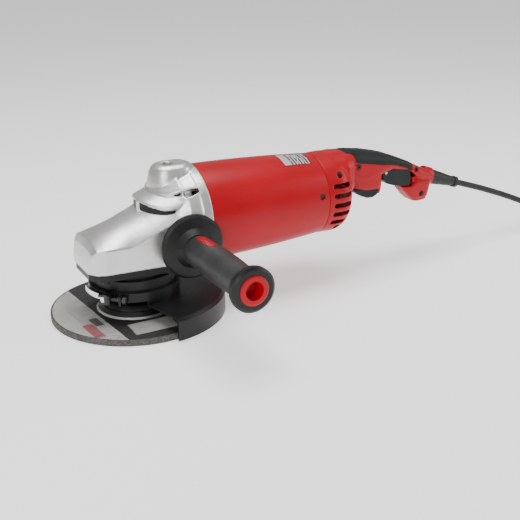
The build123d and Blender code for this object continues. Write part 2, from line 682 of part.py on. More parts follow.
with BuildPart() as guard_shell:
    revolve_about_z([
        (NECK_R + 0.5, GUARD_TOP - GUARD_T), (GUARD_R - 4, GUARD_TOP - GUARD_T),
        (GUARD_R - GUARD_T, GUARD_TOP - 4), (GUARD_R - GUARD_T, GUARD_BOTTOM), (GUARD_R, GUARD_BOTTOM),
        (GUARD_R, GUARD_TOP - 3), (GUARD_R - 3, GUARD_TOP), (NECK_R + 0.5, GUARD_TOP),
    ])
    revolve_about_z([
        (GUARD_NECK_R, GUARD_TOP - GUARD_T), (GUARD_NECK_R + GUARD_T, GUARD_TOP - GUARD_T),
        (GUARD_NECK_R + GUARD_T, GUARD_NECK_OPEN), (GUARD_NECK_R, GUARD_NECK_OPEN),
    ])
    with BuildSketch(Plane.XY.offset(GUARD_BOTTOM - 1)):
        with BuildLine():
            edge_in = GUARD_EDGE[0] - GUARD_SLANT * (GUARD_EDGE[1] - NECK_R)
            edge_out = GUARD_EDGE[0] + GUARD_SLANT * (GUARD_REACH - GUARD_EDGE[1])
            Polyline(
                (-GUARD_REACH, -GUARD_REACH), (edge_out, -GUARD_REACH), (edge_in, -NECK_R),
                (edge_in, NECK_R), (edge_out, GUARD_REACH), (-GUARD_REACH, GUARD_REACH), close=True,
            )
        make_face()
    extrude(amount=40, mode=Mode.SUBTRACT)
    revolve_about_z([
        (GUARD_NECK_R, GUARD_NECK_OPEN), (GUARD_NECK_R + GUARD_T, GUARD_NECK_OPEN),
        (GUARD_NECK_R + GUARD_T, GUARD_NECK_TOP), (GUARD_NECK_R, GUARD_NECK_TOP),
    ])
save(guard_shell, "guard_shell")


def polar(radius, degrees, z):
    """Point at a radius and angle about the spindle axis."""
    return (radius * math.cos(math.radians(degrees)), radius * math.sin(math.radians(degrees)), z)


def tangent_rod(centre, low, high, radius, mode=Mode.ADD):
    """Rod across the clamp ears, from low to high along the band's direction there."""
    along = Vector(-math.sin(math.radians(EAR_ANGLE)), math.cos(math.radians(EAR_ANGLE)), 0)
    middle = Vector(*centre)
    start = middle + along * low
    end = middle + along * high
    rod((start.X, start.Y, start.Z), (end.X, end.Y, end.Z), radius, mode)


with BuildPart() as guard_band:
    revolve_about_z([
        (BAND_R[0], BAND_Z[0]), (BAND_R[1], BAND_Z[0]), (BAND_R[1], BAND_Z[1]), (BAND_R[0], BAND_Z[1]),
    ])
    with BuildSketch(Plane.XY.offset(BAND_Z[0])):
        with PolarLocations(0, 2, start_angle=EAR_ANGLE - EAR_SPREAD, angular_range=4 * EAR_SPREAD):
            with Locations((BAND_R[0] + 5.8, 0)):
                Rectangle(11.4, 2.6)
    extrude(amount=BAND_Z[1] - BAND_Z[0])
    with BuildSketch(Plane.XY.offset(BAND_Z[0] - 1)):
        with Locations(Location((0, 0, 0), (0, 0, EAR_ANGLE))):
            with Locations((BAND_R[0] + 1, 0)):
                Rectangle(8, 4)
    extrude(amount=20, mode=Mode.SUBTRACT)
    tangent_rod(polar(CLAMP_R, EAR_ANGLE, CLAMP_Z), -12, 12, SHANK_R + 0.3, Mode.SUBTRACT)
save(guard_band, "guard_band")

# cam lever that tightens the band; it hugs the band when closed
PIVOT_ANGLE = EAR_ANGLE - 14.0
PIVOT_R = BAND_R[1] + 5.52
LEVER_END_ANGLE = 172.0
LEVER_Z = (30.0, 35.5)
LEVER_R = (BAND_R[1] + 1.32, BAND_R[1] + 3.72)
LEVER_PIN_R = 1.5
PIVOT = polar(PIVOT_R, PIVOT_ANGLE, 0)
LEVER_HUB_R = 3.8
FORK_Z = (27.5, 38.0)
FORK_SPAN = (-17.4, -7.5)        # along the band, from the middle of the ears
FORK_WIDTH = 6.4
BOLT_SPAN = (8.2, 12.0)          # the bolt's head beyond the other ear

with BuildPart() as clamp_screw:
    ears_middle = polar(CLAMP_R, EAR_ANGLE, CLAMP_Z)
    tangent_rod(ears_middle, FORK_SPAN[1] - 0.5, BOLT_SPAN[1], SHANK_R)
    tangent_rod(ears_middle, BOLT_SPAN[0], BOLT_SPAN[1], 4)
    fork_plane = Plane(
        origin=polar(CLAMP_R, EAR_ANGLE, FORK_Z[0]), x_dir=polar(1, EAR_ANGLE + 90, 0), z_dir=(0, 0, 1),
    )
    with BuildSketch(fork_plane):
        with Locations((sum(FORK_SPAN) / 2, 0)):
            Rectangle(FORK_SPAN[1] - FORK_SPAN[0], FORK_WIDTH)
    extrude(amount=FORK_Z[1] - FORK_Z[0])
    with BuildSketch(Plane.XY.offset(LEVER_Z[0] - 0.2)):
        with Locations((PIVOT[0], PIVOT[1])):
            Circle(LEVER_HUB_R + 0.4)
        with Locations(Location((PIVOT[0], PIVOT[1], 0), (0, 0, EAR_ANGLE + 90))):
            with Locations((-6, 0)):
                Rectangle(12, 12)
    extrude(amount=LEVER_Z[1] - LEVER_Z[0] + 0.4, mode=Mode.SUBTRACT)
    rod((PIVOT[0], PIVOT[1], FORK_Z[0]), (PIVOT[0], PIVOT[1], FORK_Z[1]), LEVER_PIN_R, Mode.SUBTRACT)
save(clamp_screw, "clamp_screw")

with BuildPart() as guard_lever:
    rod((PIVOT[0], PIVOT[1], LEVER_Z[0]), (PIVOT[0], PIVOT[1], LEVER_Z[1]), LEVER_HUB_R)
    with BuildSketch(Plane.XY.offset(LEVER_Z[0])):
        with BuildLine():
            outer = CenterArc((0, 0), LEVER_R[1], LEVER_END_ANGLE, PIVOT_ANGLE - 2 - LEVER_END_ANGLE)
            inner = CenterArc((0, 0), LEVER_R[0], LEVER_END_ANGLE, PIVOT_ANGLE - 2 - LEVER_END_ANGLE)
            Line(outer @ 0, inner @ 0)
            Line(outer @ 1, inner @ 1)
        make_face()
    extrude(amount=LEVER_Z[1] - LEVER_Z[0])
    rod(
        (PIVOT[0], PIVOT[1], LEVER_Z[0]), (PIVOT[0], PIVOT[1], LEVER_Z[1]), LEVER_PIN_R + RUN_GAP,
        Mode.SUBTRACT,
    )
save(guard_lever, "guard_lever")

with BuildPart() as lever_pin:
    rod((PIVOT[0], PIVOT[1], FORK_Z[0]), (PIVOT[0], PIVOT[1], FORK_Z[1]), LEVER_PIN_R)
save(lever_pin, "lever_pin")

# ---- motor housing ----
TUBE_BULGE = 1.4
WEB_REAR_X = (197.0, 203.0)


def tube_radius(x, extra=0.0):
    """Outside radius of the motor housing at x: a cone with a slight belly."""
    t = (x - TUBE_X[0]) / (TUBE_X[1] - TUBE_X[0])
    return TUBE_R_FRONT + (TUBE_R_REAR - TUBE_R_FRONT) * t + 4 * TUBE_BULGE * t * (1 - t) + extra


def tube_line(front, rear, steps, extra=0.0):
    """Points along the housing's outside from front to rear."""
    return [
        (front + (rear - front) * i / steps, tube_radius(front + (rear - front) * i / steps, extra))
        for i in range(steps + 1)
    ]


with BuildPart() as motor_housing:
    with BuildSketch(Plane.XZ):
        with BuildLine():
            outside = Spline(*[(x, MOTOR_Z + r) for x, r in tube_line(TUBE_X[0], TUBE_X[1], 4)])
            bore = [
                (TUBE_X[1], 41.5), (WEB_REAR_X[1], 41.5), (WEB_REAR_X[1], REAR_BEARING_R + 3),
                (REAR_BEARING_X[1], REAR_BEARING_R + 3), (REAR_BEARING_X[1], REAR_BEARING_R),
                (REAR_BEARING_X[0], REAR_BEARING_R), (REAR_BEARING_X[0], 9), (WEB_REAR_X[0], 9),
                (WEB_REAR_X[0], TUBE_BORE_R), (92, TUBE_BORE_R), (92, TUBE_FRONT_BORE_R),
                (TUBE_X[0], TUBE_FRONT_BORE_R),
            ]
            Polyline(outside @ 1, *[(x, MOTOR_Z + r) for x, r in bore], outside @ 0)
        make_face()
    revolve(axis=MOTOR_AXIS)
    for y, z in case_screw_points():
        rod((TUBE_X[0], y, z), (TUBE_X[0] + SCREW_BITE, y, z), SHANK_R + 0.8)
    for y, z in case_screw_points():
        rod((TUBE_X[0] - 1, y, z), (TUBE_X[0] + SCREW_BITE, y, z), SHANK_R, Mode.SUBTRACT)
    with BuildSketch(motor_plane(WEB_REAR_X[0] - 1)):
        with PolarLocations(29, 6):
            SlotOverall(18, 9, rotation=90)
    extrude(amount=WEB_REAR_X[1] - WEB_REAR_X[0] + 2, mode=Mode.SUBTRACT)
    for side in (-1, 1):
        rod((204, side * 50, MOTOR_Z + 8.6), (204, side * 42.9, MOTOR_Z + 8.6), 3.4, Mode.SUBTRACT)
        rod((204, side * 50, MOTOR_Z + 8.6), (204, side * 36, MOTOR_Z + 8.6), 1.5, Mode.SUBTRACT)
save(motor_housing, "motor_housing")


PLATE_X = (170.0, 203.0)
with BuildPart() as nameplate:
    with BuildSketch(Plane.XZ) as plate_section:
        with BuildLine():
            low = [(x, MOTOR_Z + r) for x, r in tube_line(*PLATE_X, 6, 0.12)]
            high = [(x, MOTOR_Z + r) for x, r in tube_line(*PLATE_X, 6, 0.5)]
            Polyline(*low, *reversed(high), close=True)
        make_face()
    revolve(axis=MOTOR_AXIS, revolution_arc=28)
save(nameplate, "nameplate")

# ---- rear handle shells ----
# (x, top, bottom, half width, corner radius) of the handle bar
BAR = [
    (236, 141.6, 104, 19, 14), (262, 141.2, 97, 19, 14), (283, 138.2, 95, 19, 14),
    (302, 133.6, 104, 19, 13), (317, 128.8, 111.0, 18.8, 8.5), (339, 120.1, 108.6, 18.5, 5.5),
    (356, 111.3, 96, 17.5, 7), (369, 105.2, 88, 15.5, 7), (380, 98.2, 84, 12.5, 6.5),
]
# the same for the shoulder that joins the barrel to the handle
SHOULDER = [(225, 138, 92, 32, 18), (248, 139.5, 92, 32, 18), (257, 139, 94, 28, 16), (264, 138, 98, 21, 14)]
# (z, rear x, front x, half width, corner radius) of the rear block with its hook
HOOK = [
    (65.9, 370, 358, 8, 4), (67.8, 373.5, 353, 11.5, 6), (73, 375.6, 347.5, 14, 8),
    (81, 377, 340.5, 15.2, 9), (87, 378, 337.5, 15.8, 9), (92, 379.5, 348.5, 16, 8),
    (98, 376, 348.5, 13, 6),
]
FRONT_BLOCK = [
    (85.6, 303, 292, 13, 4), (88.5, 304.5, 287, 15.5, 6), (97, 304.5, 264, 18, 8),
    (112, 304, 256, 18.6, 8),
]


TRIGGER_X = (304.0, 345.0)
TRIGGER_HALF = 15.0
WELL_GAP = 0.6

def bar_section(x, top, bottom, half, radius, shrink=0.0):
    """Rounded section across the handle."""
    with BuildSketch(Plane.YZ.offset(x)) as section:
        with Locations((0, (top + bottom) / 2)):
            RectangleRounded(2 * (half - shrink), top - bottom - 2 * shrink, radius - shrink)
    return section.sketch


def flat_section(z, rear, front, half, radius):
    """Rounded level section of a block under the handle."""
    with BuildSketch(Plane.XY.offset(z)) as section:
        with Locations(((rear + front) / 2, 0)):
            RectangleRounded(rear - front, 2 * half, radius)
    return section.sketch


def handle_bar(shrink=0.0):
    """The whole handle bar, optionally shrunk all round."""
    return loft([bar_section(*station, shrink) for station in BAR], ruled=True)


def handle_space():
    """Hollow of the handle bar, open below where the trigger goes."""
    sections = []
    for x, top, bottom, half, radius in BAR[:-1]:
        over_trigger = TRIGGER_X[0] < x < TRIGGER_X[1]
        floor = bottom - 8 if over_trigger else bottom + SHELL
        sections.append(bar_section(x, top - GRIP_T - SHELL, floor, half - SHELL, 3))
    return loft(sections, ruled=True)


def dome(shrink=0.0):
    """Rear barrel with its rounded end."""
    length = DOME_LENGTH - shrink
    radius = BARREL_R - shrink
    shoulder = math.sqrt(0.5)
    with BuildSketch(Plane.XZ) as section:
        with BuildLine():
            wall = Line((BARREL_X, MOTOR_Z + radius - 0.6), (DOME_X, MOTOR_Z + radius))
            curve = Spline(
                wall @ 1, (DOME_X + length * shoulder, MOTOR_Z + radius * shoulder),
                (DOME_X + length, MOTOR_Z),
                tangents=[(1, 0), (0, -1)],
            )
            Polyline(curve @ 1, (BARREL_X, MOTOR_Z), wall @ 0)
        make_face()
    revolve(section.sketch, axis=MOTOR_AXIS)


GRIP_T = 2.2
# outline of the soft grip seen from the side
GRIP_ZONE = [
    (238, 160), (262, 131), (268, 127.6), (300, 121.5), (318, 119), (334, 113.5), (344.5, 108), (344.5, 160),
]
RELIEF_DIR = (math.cos(math.radians(RELIEF_TILT)), 0, -math.sin(math.radians(RELIEF_TILT)))


def along_relief(distance):
    """Point on the strain relief's axis."""
    return tuple(RELIEF_START[i] + RELIEF_DIR[i] * distance for i in range(3))


with BuildPart() as bar:
    handle_bar()

with BuildPart() as bar_core:
    handle_bar(GRIP_T)

with BuildPart() as bar_space:
    handle_space()

with BuildPart() as zone:
    with BuildSketch(Plane.XZ.offset(-40)):
        with BuildLine():
            Polyline(*GRIP_ZONE, close=True)
        make_face()
    extrude(amount=80)


with BuildPart() as barrel:
    dome()

with BuildPart() as barrel_space:
    dome(SHELL)

with BuildPart() as shoulder:
    loft([bar_section(*station) for station in SHOULDER], ruled=True)

with BuildPart() as shoulder_space:
    loft([bar_section(*station, SHELL) for station in SHOULDER[:-1]], ruled=True)

with BuildPart() as hook:
    loft([flat_section(*level) for level in HOOK], ruled=True)

with BuildPart() as front_block:
    loft([flat_section(*level) for level in FRONT_BLOCK], ruled=True)

with BuildPart() as trigger_well:
    with BuildSketch(Plane.XZ.offset(-TRIGGER_HALF - WELL_GAP)):
        with BuildLine():
            Polyline(
                (TRIGGER_X[0] - 1.2, 99), (TRIGGER_X[0] - 1.2, 115.2), (TRIGGER_X[1] + 2.6, 114.6),
                (TRIGGER_X[1] + 2.6, 88.4), (308, 88.4), close=True,
            )
        make_face()
    extrude(amount=2 * (TRIGGER_HALF + WELL_GAP))

with BuildPart() as grip:
    add(bar)
    add(zone, mode=Mode.INTERSECT)
    add(bar_core, mode=Mode.SUBTRACT)
    add(barrel, mode=Mode.SUBTRACT)
    add(shoulder, mode=Mode.SUBTRACT)
    add(trigger_well, mode=Mode.SUBTRACT)

RELIEF_PLANE = Plane(origin=RELIEF_START, x_dir=(0, 1, 0), z_dir=RELIEF_DIR)
RELIEF_R = (9.5, 5.9)
TRIGGER_PIVOT = (307.6, 110.2)
TRIGGER_PIN_R = 1.5
PIN_HALF = 17.2
PIN_ENDS = [(TRIGGER_PIVOT[0], side * PIN_HALF, TRIGGER_PIVOT[1]) for side in (-1, 1)]
BUMPER_HALF = 16.5
SWITCH_X = (311.0, 329.0)
VENT_Z = (112.4, 102.4, 91.4, 80.9, 70.4)
VENT_H = 5.0
# (x, z, distance of the head's face from the parting plane)
HANDLE_SCREWS = [(231, 123.4, 33), (268, 123.4, 17), (351, 108.5, 14), (232, 62, 25), (362, 77, 11.5)]
SCREW_POCKET_R = 3.2

with BuildPart() as bumper:
    with BuildSketch(Plane.XZ.offset(-BUMPER_HALF)):
        with BuildLine():
            Polyline(
                (265, 98), (267, 92.5), (275, 86.5), (284, 82.8), (292, 82.4), (298, 85.4), (300.2, 91),
                (299.5, 98),
                close=True,
            )
        make_face()
    extrude(amount=2 * BUMPER_HALF)
    chamfer(bumper.edges().group_by(Axis.Y)[0], 2.5)
    chamfer(bumper.edges().group_by(Axis.Y)[-1], 2.5)
save(bumper, "handle_bumper")


with BuildPart() as hook_space:
    loft([
        flat_section(z, rear - SHELL, front + SHELL, half - SHELL, max(radius - SHELL, 1.5))
        for z, rear, front, half, radius in HOOK[2:]
    ], ruled=True)

with BuildPart() as handle_body:
    add(barrel)
    add(bar)
    add(shoulder)
    add(hook)
    add(front_block)
    with BuildSketch(Plane(origin=along_relief(-12), x_dir=(0, 1, 0), z_dir=RELIEF_DIR)):
        Circle(RELIEF_R[0] + 1.4)
    extrude(amount=12)
    add(barrel_space, mode=Mode.SUBTRACT)
    add(bar_space, mode=Mode.SUBTRACT)
    add(shoulder_space, mode=Mode.SUBTRACT)
    add(hook_space, mode=Mode.SUBTRACT)
    add(trigger_well, mode=Mode.SUBTRACT)
    add(grip, mode=Mode.SUBTRACT)
    add(bumper, mode=Mode.SUBTRACT)
    with BuildSketch(Plane(origin=along_relief(-18), x_dir=(0, 1, 0), z_dir=RELIEF_DIR)):
        Circle(CORD_D / 2 + 0.2)
    extrude(amount=20, mode=Mode.SUBTRACT)
    for z in VENT_Z:
        with BuildSketch(Plane.XZ.offset(-50)):
            with Locations((232, z)):
                SlotOverall(24, VENT_H)
        extrude(amount=18, mode=Mode.SUBTRACT)
        with BuildSketch(Plane.XZ.offset(50)):
            with Locations((232, z)):
                SlotOverall(24, VENT_H)
        extrude(amount=-18, mode=Mode.SUBTRACT)
    rod(PIN_ENDS[0], PIN_ENDS[1], TRIGGER_PIN_R, Mode.SUBTRACT)
    for x, z, face in HANDLE_SCREWS:
        rod((x, -50, z), (x, -face, z), SCREW_POCKET_R, Mode.SUBTRACT)


with BuildPart() as handle_shells:
    add(handle_body.part.solids().sort_by(SortBy.VOLUME)[-1])
    for x, z, face in HANDLE_SCREWS:
        rod((x, -face, z), (x, face - 1, z), SCREW_POCKET_R + 1)
    add(trigger_well, mode=Mode.SUBTRACT)
    add(grip, mode=Mode.SUBTRACT)
    for x, z, face in HANDLE_SCREWS:
        rod((x, -face - 0.1, z), (x, face - 4, z), SHANK_R, Mode.SUBTRACT)

with BuildPart() as handle_left:
    add(handle_shells)
    split(bisect_by=Plane.XZ, keep=Keep.TOP)
save(handle_left, "handle_left")

with BuildPart() as handle_right:
    add(handle_shells)
    split(bisect_by=Plane.XZ, keep=Keep.BOTTOM)
save(handle_right, "handle_right")

save(grip, "handle_grip")

with BuildPart() as handle_screws:
    for x, z, face in HANDLE_SCREWS:
        rod((x, -face - 2.4, z), (x, -face, z), SCREW_POCKET_R - 0.2)
        rod((x, -face, z), (x, face - 4, z), SHANK_R)
        rod((x, -face - 3, z), (x, -face - 1.2, z), 1.5, Mode.SUBTRACT)
    for side in (-1, 1):
        rod((204, side * 44.4, MOTOR_Z + 8.6), (204, side * 42.9, MOTOR_Z + 8.6), 3.3)
        rod((204, side * 42.9, MOTOR_Z + 8.6), (204, side * 37, MOTOR_Z + 8.6), 1.5)
save(handle_screws, "handle_screws")

# ---- trigger and switch ----
with BuildPart() as trigger:
    with BuildSketch(Plane.XZ.offset(-TRIGGER_HALF)):
        with BuildLine():
            Polyline(
                (TRIGGER_X[0] + 0.3, 114), (TRIGGER_X[1] - 1, 110.3), (TRIGGER_X[1], 91.2),
                (TRIGGER_X[1] - 2, 89.8),
                (335, 90.4), (320, 93), (311, 96.2), (306, 101), (TRIGGER_X[0] + 0.3, 107), close=True,
            )
        make_face()
    extrude(amount=2 * TRIGGER_HALF)
    fillet(trigger.edges().filter_by(GeomType.LINE).group_by(Axis.Z)[0], 1)
    with BuildSketch(Plane.XZ.offset(-TRIGGER_HALF + 2.2)):
        with BuildLine():
            Polyline(
                (308.2, 120), (341.6, 120), (341.6, 93.4), (335, 93.2), (321, 96), (313, 99), (308.2, 104.5),
                close=True,
            )
        make_face()
    extrude(amount=2 * TRIGGER_HALF - 4.4, mode=Mode.SUBTRACT)
    rod(PIN_ENDS[0], PIN_ENDS[1], TRIGGER_PIN_R + RUN_GAP, Mode.SUBTRACT)
save(trigger, "trigger")

with BuildPart() as trigger_pin:
    rod(PIN_ENDS[0], PIN_ENDS[1], TRIGGER_PIN_R)
save(trigger_pin, "trigger_pin")

SWITCH_Z = (103.0, 118.0)
with BuildPart() as switch:
    with BuildSketch(Plane.XY.offset(SWITCH_Z[0])):
        with Locations((sum(SWITCH_X) / 2, 0)):
            RectangleRounded(SWITCH_X[1] - SWITCH_X[0], 16, 1)
    extrude(amount=SWITCH_Z[1] - SWITCH_Z[0])
    with BuildSketch(Plane.XY.offset(SWITCH_Z[1] - 2)):
        with Locations((sum(SWITCH_X) / 2, 0)):
            Rectangle(8, 2 * (TRIGGER_HALF + 0.6))
    extrude(amount=2)
save(switch, "switch_body")

SPRING_R = 3.0
SPRING_WIRE = 0.5
with BuildPart() as trigger_spring:
    with BuildLine() as coil_line:
        Helix(pitch=1.6, height=6.2, radius=SPRING_R, center=(SWITCH_X[1] - 5, 0, 96.3))
    with BuildSketch(Plane(origin=coil_line.line @ 0, z_dir=coil_line.line % 0)):
        Circle(SPRING_WIRE)
    sweep(path=coil_line.line)
save(trigger_spring, "trigger_spring")

with BuildPart() as cord_clamp:
    with BuildSketch(Plane(origin=along_relief(-16), x_dir=(0, 1, 0), z_dir=RELIEF_DIR)):
        with Locations((0, -CORD_D / 2 - 1.6)):
            Rectangle(14, 3)
    extrude(amount=7)
save(cord_clamp, "cord_clamp")

with BuildPart() as inner_lead:
    with BuildSketch(Plane(origin=along_relief(-24), x_dir=(0, 1, 0), z_dir=RELIEF_DIR)):
        Circle(CORD_D / 2)
    extrude(amount=24)
save(inner_lead, "inner_lead")

# ---- side handle ----
OUT = BOSS_FACE_Y
STUD_R = SOCKET_R - THREAD_GAP
STUD_OUT = 50.0          # how far the stud reaches into the handle
with BuildPart() as stud:
    revolve_about_side([
        (OUT - SOCKET_DEPTH + 1, 0), (OUT - SOCKET_DEPTH + 1, STUD_R), (OUT + STUD_OUT, STUD_R),
        (OUT + STUD_OUT, 0),
    ])
save(stud, "side_handle_stud")

with BuildPart() as side_core:
    revolve_about_side([
        (OUT, STUD_R), (OUT, FLANGE_DISC_R - 3), (OUT + 2, FLANGE_DISC_R), (OUT + 4.5, FLANGE_DISC_R),
        (OUT + 7, FLANGE_DISC_R - 2.5), (OUT + 9.5, 21), (OUT + 16, 16.2), (OUT + 18, 12),
        (HANDLE_END_Y - 14, 12), (HANDLE_END_Y - 12, 17), (HANDLE_END_Y - 9, GRIP_END_R - 0.8),
        (HANDLE_END_Y - 6.5, GRIP_END_R), (HANDLE_END_Y - 2, GRIP_END_R), (HANDLE_END_Y, GRIP_END_R - 2.5),
        (HANDLE_END_Y, 14.5), (HANDLE_END_Y - 12, 14.5), (HANDLE_END_Y - 12, 5),
        (OUT + STUD_OUT + 2, 5), (OUT + STUD_OUT + 2, STUD_R),
    ])
save(side_core, "side_handle_core")

GRIP_PROFILE = [
    (OUT + 18, 15.4), (OUT + 35, 16.2), (OUT + 62, 17.0), (OUT + 90, 16.6), (HANDLE_END_Y - 14, 15.2),
]
INLAY_PLACE = 38.0
INLAY_LENGTH = 34.0
INLAY_WIDTH = 10.0
with BuildPart() as side_grip:
    revolve_about_side([(GRIP_PROFILE[0][0], 12), *GRIP_PROFILE, (GRIP_PROFILE[-1][0], 12)])
    for side in (-1, 1):
        with BuildSketch(Plane.XY.offset(SIDE_Z + side * 13.5)):
            with Locations((SIDE_X, -(OUT + INLAY_PLACE))):
                SlotOverall(INLAY_LENGTH, INLAY_WIDTH, rotation=90)
        extrude(amount=side * 10, mode=Mode.SUBTRACT)
save(side_grip, "side_handle_grip")

with BuildPart() as inlays:
    revolve_about_side([
        (OUT + 18, 13.6), *[(out, r + 0.4) for out, r in GRIP_PROFILE], (GRIP_PROFILE[-1][0], 13.6),
    ])
    with BuildSketch(Plane.XY.offset(SIDE_Z - 30)):
        with Locations((SIDE_X, -(OUT + INLAY_PLACE))):
            SlotOverall(INLAY_LENGTH - 0.4, INLAY_WIDTH - 0.4, rotation=90)
    extrude(amount=60, mode=Mode.INTERSECT)
    with BuildSketch(Plane.XY.offset(SIDE_Z - 13.6)):
        with Locations((SIDE_X, -(OUT + INLAY_PLACE))):
            Rectangle(40, 80)
    extrude(amount=27.2, mode=Mode.SUBTRACT)
save(inlays, "side_handle_inlays")

with BuildPart() as end_cap:
    revolve_about_side([
        (HANDLE_END_Y - 12, 0), (HANDLE_END_Y - 12, 14.4), (HANDLE_END_Y + 0.6, 14.4),
        (HANDLE_END_Y + 1.4, 13),
        (HANDLE_END_Y + 1.4, 9), (HANDLE_END_Y - 10.5, 6.4), (HANDLE_END_Y - 10.5, 0),
    ])
save(end_cap, "side_handle_cap")

# ---- strain relief, cord, coil and plug ----
with BuildPart() as relief:
    with BuildSketch(RELIEF_PLANE):
        Circle(RELIEF_R[0])
    with BuildSketch(RELIEF_PLANE.offset(RELIEF_LENGTH - 5)):
        Circle(RELIEF_R[1])
    loft()
    with BuildSketch(RELIEF_PLANE.offset(RELIEF_LENGTH - 5)):
        Circle(RELIEF_R[1] + 0.9)
    extrude(amount=5)
save(relief, "strain_relief")

CORD_Z = REST_Z + CORD_D / 2
CORD_START = along_relief(RELIEF_LENGTH)
CORD_ROUTE = [
    CORD_START, along_relief(RELIEF_LENGTH + 31), (486, 0, 57.4), (516, 0, 45.6), (544, 0, 33.4),
    (569, 0, 22.0), (594, 0, 12.2), (619, 0.2, 5.6), (645, 0, CORD_Z + 0.05), (COIL_CENTRE[0], 0, CORD_Z),
]


def corner_radii(points):
    """Largest radius that each corner's two runs allow."""
    radii = []
    for before, here, after in zip(points, points[1:], points[2:]):
        first = Vector(*here) - Vector(*before)
        second = Vector(*after) - Vector(*here)
        turn = math.radians(first.get_angle(second))
        radii.append(0.45 * min(first.length, second.length) / math.tan(turn / 2))
    return radii


def cord_tube(points, name):
    """Tube along straight runs joined by tangent arcs, saved under its name."""
    radii = corner_radii(points)
    print(name, "radii", [round(r) for r in radii])
    with BuildPart() as tube:
        with BuildLine() as path:
            FilletPolyline(*points, radius=radii)
        with BuildSketch(Plane(origin=points[0], z_dir=Vector(*points[1]) - Vector(*points[0]))):
            Circle(CORD_D / 2)
        sweep(path=path.line)
    save(tube, name)
    length = sum(edge.length for edge in path.edges())
    print(name, "length", length, "volume ratio", tube.part.volume / (length * math.pi * CORD_D ** 2 / 4))
    return length


COIL_WIDTH = 3 * CORD_D
COIL_HEIGHT = 3.2 * CORD_D
TAIL_ROUTE = [
    (COIL_CENTRE[0] + COIL_R, COIL_CENTRE[1], CORD_Z), (COIL_CENTRE[0] + COIL_R, COIL_CENTRE[1] - 24, CORD_Z),
    (COIL_CENTRE[0] + COIL_R - 1.5, COIL_CENTRE[1] - 46, CORD_Z + 2),
    (COIL_CENTRE[0] + COIL_R - 4, COIL_CENTRE[1] - 68, CORD_Z + 6.5),
]
lead_length = cord_tube(CORD_ROUTE, "power_cord")
tail_length = cord_tube(TAIL_ROUTE, "cord_tail")
COIL_TURNS = (CORD_LENGTH - lead_length - tail_length) / (2 * math.pi * COIL_R)
print("coil turns", COIL_TURNS)

with BuildPart() as coil:
    with BuildSketch(Plane.XZ.offset(-COIL_CENTRE[1])):
        with Locations((COIL_CENTRE[0] + COIL_R, REST_Z + COIL_HEIGHT / 2)):
            RectangleRounded(COIL_WIDTH, COIL_HEIGHT, CORD_D / 2)
    revolve(axis=Axis((COIL_CENTRE[0], COIL_CENTRE[1], 0), (0, 0, 1)))
save(coil, "cord_coil")

PLUG_START = TAIL_ROUTE[-1]
PLUG_PLANE = Plane(origin=PLUG_START, x_dir=(1, 0, 0), z_dir=(0, -1, 0))
with BuildPart() as plug_body:
    with BuildSketch(PLUG_PLANE):
        Circle(CORD_D / 2 + 1.6)
    with BuildSketch(PLUG_PLANE.offset(14)):
        RectangleRounded(16, 16, 6)
    loft()
    with BuildSketch(PLUG_PLANE.offset(14)):
        RectangleRounded(24, 20, 7)
    extrude(amount=22)
save(plug_body, "plug_body")

with BuildPart() as plug_blades:
    with BuildSketch(PLUG_PLANE.offset(36)):
        with Locations((-6.35, 2), (6.35, 2)):
            Rectangle(1.5, 6.35)
        with Locations((0, -5.5)):
            Circle(2.4)
    extrude(amount=17)
save(plug_blades, "plug_blades")
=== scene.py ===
import bmesh
import bpy
import json
import math
from mathutils import Matrix, Vector


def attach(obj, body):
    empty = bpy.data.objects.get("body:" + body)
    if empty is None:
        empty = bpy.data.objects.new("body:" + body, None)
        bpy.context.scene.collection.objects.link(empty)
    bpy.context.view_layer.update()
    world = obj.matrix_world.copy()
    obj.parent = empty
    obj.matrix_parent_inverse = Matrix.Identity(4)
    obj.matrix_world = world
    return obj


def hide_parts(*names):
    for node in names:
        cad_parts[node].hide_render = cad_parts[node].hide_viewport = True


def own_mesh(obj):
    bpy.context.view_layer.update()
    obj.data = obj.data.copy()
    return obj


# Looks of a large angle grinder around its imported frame.  Blender's unit is the metre;
# lists of points in millimetres are turned into metres with MM.
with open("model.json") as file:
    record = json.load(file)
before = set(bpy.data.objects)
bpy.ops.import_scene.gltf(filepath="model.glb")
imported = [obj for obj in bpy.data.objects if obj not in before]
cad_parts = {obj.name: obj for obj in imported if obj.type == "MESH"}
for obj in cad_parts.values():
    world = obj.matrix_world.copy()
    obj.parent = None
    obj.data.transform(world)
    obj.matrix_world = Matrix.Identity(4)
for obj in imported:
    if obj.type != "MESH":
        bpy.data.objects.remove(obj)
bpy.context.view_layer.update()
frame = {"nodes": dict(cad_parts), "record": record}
scene = bpy.context.scene
MM = 0.001


